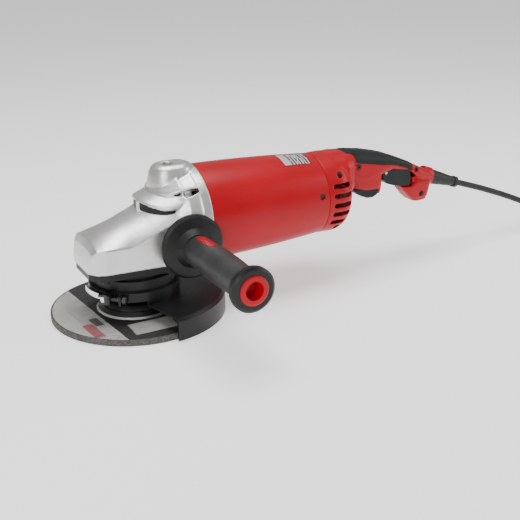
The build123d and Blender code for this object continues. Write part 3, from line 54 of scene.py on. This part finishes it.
# ---------------------------------------------------------------- material building
class Finish:
    """A node material under construction, with short calls for the nodes that the finishes share."""

    def __init__(self, name):
        self.material = bpy.data.materials.new(name)
        self.material.use_nodes = True
        self.nodes = self.material.node_tree.nodes
        self.links = self.material.node_tree.links
        self.shader = self.nodes["Principled BSDF"]

    def drive(self, name, value):
        """Link a value to one of the shader's sockets."""
        self.links.new(value, self.shader.inputs[name])

    def set(self, **values):
        """Constants on the shader's own sockets; underscores stand for spaces."""
        for key, value in values.items():
            self.shader.inputs[key.replace("_", " ")].default_value = value

    def place(self):
        """Point in object space."""
        return self.nodes.new("ShaderNodeTexCoord").outputs["Object"]

    def noise(self, scale, detail=4.0, stretch=None):
        """Noise in object space; stretch squeezes it along the axes."""
        where = self.place()
        if stretch:
            mapping = self.nodes.new("ShaderNodeMapping")
            mapping.inputs["Scale"].default_value = stretch
            self.links.new(where, mapping.inputs["Vector"])
            where = mapping.outputs["Vector"]
        texture = self.nodes.new("ShaderNodeTexNoise")
        texture.inputs["Scale"].default_value = scale
        texture.inputs["Detail"].default_value = detail
        texture.inputs["Roughness"].default_value = 0.6
        self.links.new(where, texture.inputs["Vector"])
        return texture.outputs["Fac"]

    def ramp(self, value, stops):
        """Colour ramp over a value; stops are (position, colour)."""
        node = self.nodes.new("ShaderNodeValToRGB")
        while len(node.color_ramp.elements) < len(stops):
            node.color_ramp.elements.new(0.5)
        for element, (place, colour) in zip(node.color_ramp.elements, stops):
            element.position = place
            element.color = (*colour, 1)
        self.links.new(value, node.inputs["Fac"])
        return node.outputs["Color"]

    def math(self, kind, *values):
        """One math node on one or two values, each a socket or a number."""
        node = self.nodes.new("ShaderNodeMath")
        node.operation = kind
        for socket, value in zip(node.inputs, values):
            if isinstance(value, (int, float)):
                socket.default_value = value
            else:
                self.links.new(value, socket)
        return node.outputs["Value"]

    def between(self, value, low, high):
        """1 where the value is between two limits, else 0."""
        above, below = self.math("GREATER_THAN", value, low), self.math("LESS_THAN", value, high)
        return self.math("MULTIPLY", above, below)

    def mix(self, share, a, b, kind="MIX"):
        """Mix two colours, each a socket or a colour."""
        node = self.nodes.new("ShaderNodeMix")
        node.data_type = "RGBA"
        node.blend_type = kind
        share_socket, a_socket, b_socket = node.inputs[0], node.inputs[6], node.inputs[7]
        if isinstance(share, (int, float)):
            share_socket.default_value = share
        else:
            self.links.new(share, share_socket)
        for socket, value in ((a_socket, a), (b_socket, b)):
            if isinstance(value, tuple):
                socket.default_value = (*value, 1)
            else:
                self.links.new(value, socket)
        return node.outputs[2]

    def multiply(self, a, b):
        """Product of two colours."""
        return self.mix(1.0, a, b, "MULTIPLY")

    def bumps(self, heights):
        """Chain of bumps; heights are (value, distance in metres, strength)."""
        last = None
        for value, distance, strength in heights:
            bump = self.nodes.new("ShaderNodeBump")
            bump.inputs["Distance"].default_value = distance
            bump.inputs["Strength"].default_value = strength
            self.links.new(value, bump.inputs["Height"])
            if last:
                self.links.new(last, bump.inputs["Normal"])
            last = bump.outputs["Normal"]
        self.drive("Normal", last)

    def split_place(self):
        """x, y and the distance from the spindle's axis, in metres."""
        split = self.nodes.new("ShaderNodeSeparateXYZ")
        self.links.new(self.place(), split.inputs[0])
        x, y = split.outputs[0], split.outputs[1]
        squares = self.math("ADD", self.math("MULTIPLY", x, x), self.math("MULTIPLY", y, y))
        return x, y, self.math("SQRT", squares)


def grey(value):
    """Neutral colour."""
    return (value, value, value)


# ---------------------------------------------------------------- plain finishes
# slot: (darker tone, lighter tone, (lowest and highest roughness), bumps as (noise scale,
# distance in metres, strength), scale of the blotches of tone, constants on the shader)
PLAIN = {
    "cast_alloy": (
        (0.60, 0.595, 0.58), (0.72, 0.715, 0.70), (0.30, 0.42),
        [(1100, 0.00010, 0.3), (60, 0.0008, 0.25)], 30, {"Metallic": 0.85},
    ),
    "black_cap": (
        grey(0.004), grey(0.009), (0.35, 0.5), [(1200, 0.0001, 0.4)], 30, {"Specular_IOR_Level": 0.3},
    ),
    "dark_screw": (
        grey(0.012), grey(0.03), (0.35, 0.55), [(1500, 0.00005, 0.4)], 30, {"Metallic": 0.6},
    ),
    "red_plastic": (
        (0.33, 0.0004, 0.006), (0.40, 0.0008, 0.009), (0.30, 0.40),
        [(1700, 0.00004, 0.35), (60, 0.0002, 0.12)], 14, {"Specular_IOR_Level": 0.22},
    ),
    "grip_rubber": (
        (0.004, 0.007, 0.007), (0.010, 0.014, 0.014), (0.45, 0.62), [(2200, 0.0001, 0.7)], 60,
        {"Specular_IOR_Level": 0.25},
    ),
    "grey_rubber": (
        grey(0.016), grey(0.030), (0.36, 0.55), [(1800, 0.0001, 0.6), (140, 0.0003, 0.2)], 40, {},
    ),
    "black_plastic": (
        grey(0.005), grey(0.011), (0.38, 0.52), [(1700, 0.00007, 0.5)], 50, {"Specular_IOR_Level": 0.28},
    ),
    "trigger_plastic": (
        (0.004, 0.006, 0.006), (0.009, 0.012, 0.012), (0.35, 0.48), [(1300, 0.00008, 0.5)], 50,
        {"Specular_IOR_Level": 0.25},
    ),
    "cord_rubber": (
        grey(0.005), grey(0.012), (0.45, 0.62), [(1500, 0.0001, 0.6)], 70, {"Specular_IOR_Level": 0.35},
    ),
    "steel": (
        (0.36, 0.36, 0.37), grey(0.52), (0.22, 0.4), [(1500, 0.00004, 0.4)], 80, {"Metallic": 1.0},
    ),
    "dark_steel": (
        (0.035, 0.035, 0.036), grey(0.075), (0.32, 0.5), [(1300, 0.00005, 0.4)], 70, {"Metallic": 0.8},
    ),
    "bright_steel": (
        grey(0.66), (0.82, 0.82, 0.81), (0.14, 0.3), [(700, 0.00006, 0.4)], 90, {"Metallic": 1.0},
    ),
    "bearing_steel": (
        (0.50, 0.50, 0.51), grey(0.62), (0.12, 0.25), [(2000, 0.00002, 0.3)], 90, {"Metallic": 1.0},
    ),
    "bronze": (
        (0.36, 0.21, 0.08), (0.50, 0.32, 0.14), (0.3, 0.5), [(1600, 0.00006, 0.5)], 90, {"Metallic": 1.0},
    ),
    "brass": (
        (0.56, 0.41, 0.15), (0.70, 0.54, 0.24), (0.2, 0.36), [(900, 0.00004, 0.4)], 90, {"Metallic": 1.0},
    ),
    "copper": (
        (0.34, 0.10, 0.04), (0.50, 0.18, 0.08), (0.25, 0.4), [(700, 0.0003, 0.8)], 90, {"Metallic": 0.9},
    ),
    "lamination": (
        (0.15, 0.15, 0.16), (0.28, 0.28, 0.29), (0.35, 0.5), [(1200, 0.0001, 0.5)], 90, {"Metallic": 0.9},
    ),
    "carbon": (
        (0.010, 0.010, 0.011), grey(0.02), (0.5, 0.7), [(2500, 0.0001, 0.7)], 90, {},
    ),
    "guard_paint": (
        (0.005, 0.005, 0.006), (0.012, 0.012, 0.013), (0.28, 0.42),
        [(1100, 0.00006, 0.3), (40, 0.0003, 0.12)], 25, {"Specular_IOR_Level": 0.3},
    ),
}
FINER = 7                 # how much finer the change in roughness is than the blotches of tone


def plain_finish(slot):
    """Two close tones in blotches, a roughness that varies and fine bumps."""
    dark, light, rough, bumps, blotch, constants = PLAIN[slot]
    finish = Finish(slot)
    finish.drive("Base Color", finish.ramp(finish.noise(blotch, 5), [(0.3, dark), (0.7, light)]))
    fine = finish.noise(blotch * FINER)
    finish.drive("Roughness", finish.ramp(fine, [(0.25, grey(rough[0])), (0.75, grey(rough[1]))]))
    finish.set(**constants)
    finish.bumps([(finish.noise(scale, 3), distance, strength) for scale, distance, strength in bumps])
    return finish.material


# ---------------------------------------------------------------- wheel, its label and the nameplate
HUB_R = 0.0412            # the wheel's pressed centre
RING_R = 0.0395           # inner edge of the bright ring around it


def abrasive():
    """Bonded grain at the rim, with the dark pressed steel centre and its bright edge."""
    finish = Finish("abrasive")
    grains = finish.nodes.new("ShaderNodeTexVoronoi")
    grains.inputs["Scale"].default_value = 1300
    finish.links.new(finish.place(), grains.inputs["Vector"])
    tone = finish.ramp(grains.outputs["Color"], [
        (0.0, (0.030, 0.026, 0.025)), (0.5, (0.075, 0.068, 0.064)), (0.88, (0.16, 0.15, 0.145)),
        (1.0, (0.34, 0.33, 0.31)),
    ])
    shade = finish.ramp(finish.noise(40, 5), [(0.3, grey(0.7)), (0.7, grey(1.0))])
    radius = finish.split_place()[2]
    hub = finish.math("LESS_THAN", radius, HUB_R)
    centre = finish.mix(finish.between(radius, RING_R, HUB_R), (0.045, 0.045, 0.046), (0.62, 0.62, 0.61))
    finish.drive("Base Color", finish.mix(hub, finish.multiply(tone, shade), centre))
    finish.drive("Metallic", finish.math("MULTIPLY", hub, 0.85))
    finish.drive("Roughness", finish.ramp(hub, [(0, grey(0.8)), (1, grey(0.33))]))
    finish.bumps([(grains.outputs["Distance"], 0.0004, 0.6), (finish.noise(1600, 3), 0.0002, 0.4)])
    return finish.material


LABEL_LEAN = 0.1          # how far the printed fields' edges lean, along x per unit of y
FIELD_FROM = 0.0455       # the pale fields lie further from the middle than this
RULES_TO = 0.069          # the fine rules stop here
PANEL_X, PANEL_Y = (-0.027, 0.019), (0.046, 0.0725)
RED_BAR_X, RED_BAR_Y = (-0.071, -0.060), (-0.060, -0.026)
SQUARE_X, SQUARE_Y = (-0.059, -0.050), (-0.034, -0.014)
RULE_WAVES = 2300.0       # radians of the rules' wave per metre


def printed_label():
    """Printed paper disc: pale fields, a dark band, panels of fine rules, a red bar; no lettering."""
    finish = Finish("label_paper")
    x, y = finish.split_place()[:2]
    across = finish.math("ADD", x, finish.math("MULTIPLY", y, LABEL_LEAN))
    side, reach = finish.math("ABSOLUTE", across), finish.math("ABSOLUTE", y)
    panel = finish.math("MULTIPLY", finish.between(x, *PANEL_X), finish.between(reach, *PANEL_Y))
    pale = finish.math("MAXIMUM", finish.math("GREATER_THAN", side, FIELD_FROM), panel)
    wave = finish.math("SINE", finish.math("MULTIPLY", across, RULE_WAVES))
    gaps = finish.between(finish.noise(300, 2, (0.35, 1.6, 1.0)), 0.5, 1.0)
    rules = finish.math("MULTIPLY", finish.math("GREATER_THAN", wave, 0.25), gaps)
    inked = finish.math("MULTIPLY", rules, finish.between(side, 0.0, RULES_TO))
    red_bar = finish.math("MULTIPLY", finish.between(across, *RED_BAR_X), finish.between(y, *RED_BAR_Y))
    square = finish.math("MULTIPLY", finish.between(across, *SQUARE_X), finish.between(y, *SQUARE_Y))
    ink = finish.math("MULTIPLY", inked, finish.math("MULTIPLY", pale, 0.75))
    colour = finish.mix(pale, (0.020, 0.019, 0.018), (0.44, 0.435, 0.41))
    colour = finish.mix(ink, colour, (0.10, 0.10, 0.095))
    colour = finish.mix(finish.math("MULTIPLY", red_bar, 0.8), colour, (0.32, 0.03, 0.04))
    colour = finish.mix(finish.math("MULTIPLY", square, 0.9), colour, (0.04, 0.045, 0.04))
    dirt = finish.ramp(finish.noise(55, 6), [(0.3, grey(0.72)), (0.7, grey(1.0))])
    specks = finish.ramp(finish.noise(1500, 2), [(0.35, grey(0.6)), (0.5, grey(1.0))])
    finish.drive("Base Color", finish.multiply(finish.multiply(colour, dirt), specks))
    finish.drive("Roughness", finish.ramp(finish.noise(200, 3), [(0.3, grey(0.5)), (0.7, grey(0.7))]))
    finish.bumps([(finish.noise(900), 0.0003, 0.6)])
    return finish.material


PLATE_BLOCK_X = (0.1705, 0.1775)    # the nameplate's plain stretch
STRIPE_WAVES = 1650.0               # radians of the stripes' wave per metre


def nameplate():
    """Silver plate with broken dark stripes and one plain stretch; no lettering."""
    finish = Finish("label_silver")
    x = finish.split_place()[0]
    wave = finish.math("SINE", finish.math("MULTIPLY", x, STRIPE_WAVES))
    gaps = finish.between(finish.noise(260, 2, (1.6, 0.4, 1.0)), 0.42, 1.0)
    stripes = finish.math("MULTIPLY", finish.math("GREATER_THAN", wave, -0.2), gaps)
    printed = finish.math("SUBTRACT", 1.0, finish.between(x, *PLATE_BLOCK_X))
    ink = finish.math("MULTIPLY", stripes, printed)
    finish.drive("Base Color", finish.mix(ink, (0.52, 0.50, 0.50), (0.035, 0.032, 0.032)))
    finish.drive("Roughness", finish.ramp(finish.noise(300, 3), [(0.3, grey(0.3)), (0.7, grey(0.45))]))
    finish.set(Metallic=0.3)
    finish.bumps([(ink, 0.00008, 0.5)])
    return finish.material


# ---------------------------------------------------------------- finishes on the CAD nodes
materials = {slot: plain_finish(slot) for slot in PLAIN}
materials["abrasive"] = abrasive()
materials["label_paper"] = printed_label()
materials["label_silver"] = nameplate()


def slot_of(node):
    """Material slot of a CAD node."""
    return next(part["material_slot"] for part in frame["record"]["subparts"] if part["node"] == node)


def body_with(node):
    """Body that a CAD node belongs to."""
    bodies = frame["record"]["behaviour"]["bodies"]
    return next(body for body, members in bodies.items() if node in members)


for node, cad_object in frame["nodes"].items():
    cad_object.data.materials.clear()
    cad_object.data.materials.append(materials[slot_of(node)])


# ---------------------------------------------------------------- dark sheets of painted shade in the case's air slots
# The case's sections as (x, half width, height of the side ridge, height of the crest), and
# the hoods' lips as (x of the centre of the rounded front, its radius), in millimetres.
NOSE = [
    (-56.5, 22, 67, 69), (-53, 28, 79, 82), (-49, 33, 84, 90), (-40, 36.5, 84.4, 94),
    (-15, 38.5, 84.4, 103.5), (7, 40.5, 94, 112), (30, 43, 103, 124), (44, 45, 110, 134),
]
LOWER_HOOD = [(4, 39, 102.5, 122.5), (30, 43.5, 111, 133), (44, 45.5, 116, 139)]
UPPER_HOOD = [(17, 38, 109, 128.5), (44, 44.5, 123, 148)]
LOWER_LIP = (45.5, 40.0)
UPPER_LIP = (55.7, 36.4)
LOWER_SPREAD, UPPER_SPREAD = 78, 68    # degrees to each side of straight ahead
SET_BACK = 2.0            # from a hood's lip to its sheet of painted shade
FOOT, HEAD = 1.0, 1.3     # how far a sheet of painted shade reaches into the body below and stays under the hood's top
SHADE_SHEET_T = 0.0008


def arch_height(sections, x, y):
    """Height of an arched body's top above a point."""
    for first, second in zip(sections, sections[1:]):
        if x <= second[0]:
            break
    share = (x - first[0]) / (second[0] - first[0])
    half, ridge, crest = (a + (b - a) * share for a, b in zip(first[1:], second[1:]))
    rise = crest - ridge
    radius = (half * half + rise * rise) / (2 * rise)
    return crest - radius + math.sqrt(max(radius * radius - y * y, 0.0))


def vent_shade_sheet(name, below, hood, lip, spread):
    """Dark upright sheet of painted shade around a hood's front, spread degrees to each side of it; it
    stands for the shade deep in the air slot.
    """
    columns, levels = 60, 6
    centre, radius = lip[0], lip[1] - SET_BACK
    mesh = bmesh.new()
    uprights = []
    for i in range(columns + 1):
        angle = math.radians(180 - spread + 2 * spread * i / columns)
        x, y = centre + radius * math.cos(angle), radius * math.sin(angle)
        low, high = arch_height(below, x, y) - FOOT, arch_height(hood, x, y) - HEAD
        heights = [low + (high - low) * k / levels for k in range(levels + 1)]
        uprights.append([mesh.verts.new((x * MM, y * MM, height * MM)) for height in heights])
    for here, beside in zip(uprights, uprights[1:]):
        for k in range(levels):
            mesh.faces.new((here[k], here[k + 1], beside[k + 1], beside[k]))
    data = bpy.data.meshes.new(name)
    mesh.to_mesh(data)
    mesh.free()
    data.materials.append(materials["black_cap"])
    shade_sheet = bpy.data.objects.new(name, data)
    scene.collection.objects.link(shade_sheet)
    thick = shade_sheet.modifiers.new("thick", "SOLIDIFY")
    thick.thickness = SHADE_SHEET_T
    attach(shade_sheet, "housing")


# two dark sheets of painted shade: they stand for the shade deep in the air slots, which have no dark
# part of their own
vent_shade_sheet("lower_vent_shade_sheet", NOSE, LOWER_HOOD, LOWER_LIP, LOWER_SPREAD)
vent_shade_sheet("upper_vent_shade_sheet", LOWER_HOOD, UPPER_HOOD, UPPER_LIP, UPPER_SPREAD)


# ---------------------------------------------------------------- trigger's return spring
spring = bpy.data.objects.new("trigger_spring_wire", frame["nodes"]["trigger_spring"].data.copy())
scene.collection.objects.link(spring)
spring.data.materials.clear()
spring.data.materials.append(materials["steel"])
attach(spring, "housing")
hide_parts("trigger_spring")
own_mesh(spring)


# ---------------------------------------------------------------- softened castings and mouldings
# (node, voxel in millimetres, rounds of smoothing, share of the faces kept)
SOFTENED = [
    ("gear_case", 0.8, 9, 0.3), ("handle_left", 0.7, 6, 0.3), ("handle_right", 0.7, 6, 0.3),
    ("handle_grip", 0.5, 8, 0.3), ("handle_bumper", 0.6, 12, 0.4), ("trigger", 0.5, 6, 0.4),
]


def soften(node, voxel, rounds, keep):
    """Copy of a CAD node with rounded edges, as castings and mouldings have, standing for that node."""
    source = frame["nodes"][node]
    piece = bpy.data.objects.new(node + "_soft", source.data.copy())
    piece.matrix_world = source.matrix_world
    scene.collection.objects.link(piece)
    remesh = piece.modifiers.new("remesh", "REMESH")
    remesh.mode = "VOXEL"
    remesh.voxel_size = voxel * MM
    smooth = piece.modifiers.new("smooth", "SMOOTH")
    smooth.factor = 0.5
    smooth.iterations = rounds
    thin = piece.modifiers.new("thin", "DECIMATE")
    thin.ratio = keep
    bpy.context.view_layer.update()
    evaluated = piece.evaluated_get(bpy.context.evaluated_depsgraph_get())
    final = bpy.data.meshes.new_from_object(evaluated)
    piece.modifiers.clear()
    piece.data = final
    final.materials.clear()
    final.materials.append(materials[slot_of(node)])
    final.polygons.foreach_set("use_smooth", [True] * len(final.polygons))
    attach(piece, body_with(node))
    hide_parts(node)


for row in SOFTENED:
    soften(*row)


# ---------------------------------------------------------------- cord
# Everything here is in millimetres.  The lead's and the tail's points are listed one by one.
CORD_R = 3.75
RELIEF_START = (383.0, 0.0, 92.0)
RELIEF_LENGTH = 44.0
RELIEF_TILT = math.radians(18.0)


def along_relief(distance):
    """Point on the strain relief's line."""
    x, y, z = RELIEF_START
    return (x + distance * math.cos(RELIEF_TILT), y, z - distance * math.sin(RELIEF_TILT))


LEAD = [
    along_relief(RELIEF_LENGTH), along_relief(RELIEF_LENGTH + 31), (486, 0, 57.4), (516, 0, 45.6),
    (544, 0, 33.4), (569, 0, 22.0), (594, 0, 12.2), (619, 0.2, 5.6), (645, 0, 3.2), (668, 0, 3.15),
]
TAIL = [(715.8, -58, 3.2), (712.6, -76, 4.0), (708.2, -94, 6.4), (705.25, -109.25, 9.65)]
COIL = (668.0, -41.25)
INNER, MIDDLE, OUTER = 33.75, 41.25, 48.75
LOW, MID, TOP = 3.15, 11.2, 19.25
# (radius, height) of each turn in the order that it is wound
TURNS = [
    (MIDDLE, LOW), (INNER, LOW), (INNER, MID), (MIDDLE, MID), (INNER, TOP), (MIDDLE, TOP), (OUTER, TOP),
    (OUTER, MID), (OUTER, LOW),
]
STEP = 15                 # degrees between the coil's points
SHIFT_START = 245         # degrees into a turn where it starts to shift to the next place
LAST_SHIFT_START = 340    # the same for the last shift
SHIFT_SPAN = 60


def coil_points():
    """Turns laid clockwise from the lead, each shifting to the next place over a short stretch."""
    points = []
    last_shift = len(TURNS) - 2
    for angle in range(STEP, 360 * (len(TURNS) - 1) + 90, STEP):
        turn = min(angle // 360, last_shift)
        start = LAST_SHIFT_START if turn == last_shift else SHIFT_START
        share = min(max((angle - 360 * turn - start) / SHIFT_SPAN, 0), 1)
        share = share * share * (3 - 2 * share)
        (r0, z0), (r1, z1) = TURNS[turn], TURNS[turn + 1]
        radius, height = r0 + (r1 - r0) * share, z0 + (z1 - z0) * share
        theta = math.radians(90 - angle)
        points.append((COIL[0] + radius * math.cos(theta), COIL[1] + radius * math.sin(theta), height))
    return points


def nurbs_tube(name, points, radius, material):
    """Smooth open tube along control points."""
    data = bpy.data.curves.new(name, "CURVE")
    data.dimensions = "3D"
    spline = data.splines.new("NURBS")
    spline.points.add(len(points) - 1)
    for target, (x, y, z) in zip(spline.points, points):
        target.co = (x * MM, y * MM, z * MM, 1)
    spline.order_u = 3
    spline.use_endpoint_u = True
    spline.resolution_u = 8
    data.bevel_depth = radius * MM
    data.bevel_resolution = 5
    data.use_fill_caps = True
    data.materials.append(material)
    piece = bpy.data.objects.new(name, data)
    scene.collection.objects.link(piece)
    return piece


cord = nurbs_tube("cord", LEAD + coil_points() + TAIL, CORD_R, materials["cord_rubber"])
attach(cord, "housing")
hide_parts("power_cord", "cord_coil", "cord_tail")


# ---------------------------------------------------------------- floor and light
FLOOR_Z = -0.6 * MM
FLOOR_NEAR, FLOOR_FAR = -6, 8
WORLD_LIGHT = 0.4
# (name, place, target, size, power in watts)
LIGHTS = [
    ("top", (0.1, 0.1, 1.5), (0.12, 0.0, 0.05), (1.2, 0.8), 24),
    ("front_left", (-0.9, -1.0, 0.75), (0.08, 0.0, 0.08), (0.6, 0.8), 11),
    ("right", (1.3, -0.5, 0.6), (0.2, 0.0, 0.1), (0.4, 0.8), 6),
]


def pale_floor():
    """Plain pale paper that the grinder stands on."""
    near, far = FLOOR_NEAR, FLOOR_FAR
    corners = [(near, near, FLOOR_Z), (far, near, FLOOR_Z), (far, far, FLOOR_Z), (near, far, FLOOR_Z)]
    mesh = bpy.data.meshes.new("floor")
    mesh.from_pydata(corners, [], [(0, 1, 2, 3)])
    floor = bpy.data.objects.new("floor", mesh)
    scene.collection.objects.link(floor)
    paper = Finish("floor_paper")
    paper.drive("Base Color", paper.ramp(paper.noise(3, 3), [(0.2, grey(0.90)), (0.8, grey(0.93))]))
    paper.set(Roughness=0.85, Specular_IOR_Level=0.15, Emission_Color=(1, 1, 1, 1), Emission_Strength=0.5)
    mesh.materials.append(paper.material)


def studio_world():
    """Even white light from all round."""
    world = bpy.data.worlds.new("studio")
    world.use_nodes = True
    background = world.node_tree.nodes["Background"]
    background.inputs["Color"].default_value = (1, 1, 1, 1)
    background.inputs["Strength"].default_value = WORLD_LIGHT
    scene.world = world


def area_light(name, place, target, size, power):
    """Soft box that faces a target point."""
    data = bpy.data.lights.new(name, "AREA")
    data.shape = "RECTANGLE"
    data.size, data.size_y = size
    data.energy = power
    lamp = bpy.data.objects.new(name, data)
    lamp.location = place
    lamp.rotation_mode = "QUATERNION"
    lamp.rotation_quaternion = (Vector(target) - Vector(place)).to_track_quat("-Z", "Y")
    scene.collection.objects.link(lamp)


pale_floor()
studio_world()
for light in LIGHTS:
    area_light(*light)


# ---------------------------------------------------------------- camera
AZIMUTH = math.radians(-28.12)
ELEVATION = math.radians(21.06)
ROLL = math.radians(-0.59)
LOOK_AT = Vector((0.100, -0.030, 0.0694))
OFFSET = (0.030413, -0.021125, 0.979909)    # from LOOK_AT to the right, up and back


def photo_camera():
    """Camera at the photograph's viewing angle."""
    flat = math.cos(ELEVATION)
    back = Vector((math.sin(AZIMUTH) * flat, -math.cos(AZIMUTH) * flat, math.sin(ELEVATION)))
    level = Vector((math.cos(AZIMUTH), math.sin(AZIMUTH), 0))
    upward = back.cross(level)
    right = math.cos(ROLL) * level + math.sin(ROLL) * upward
    up = -math.sin(ROLL) * level + math.cos(ROLL) * upward
    data = bpy.data.cameras.new("camera")
    data.sensor_width = 36
    data.lens = 64.0
    data.clip_start, data.clip_end = 0.01, 20
    camera = bpy.data.objects.new("camera", data)
    place = LOOK_AT + right * OFFSET[0] + up * OFFSET[1] + back * OFFSET[2]
    camera.matrix_world = Matrix.Translation(place) @ Matrix((right, up, back)).transposed().to_4x4()
    scene.collection.objects.link(camera)
    scene.camera = camera


photo_camera()
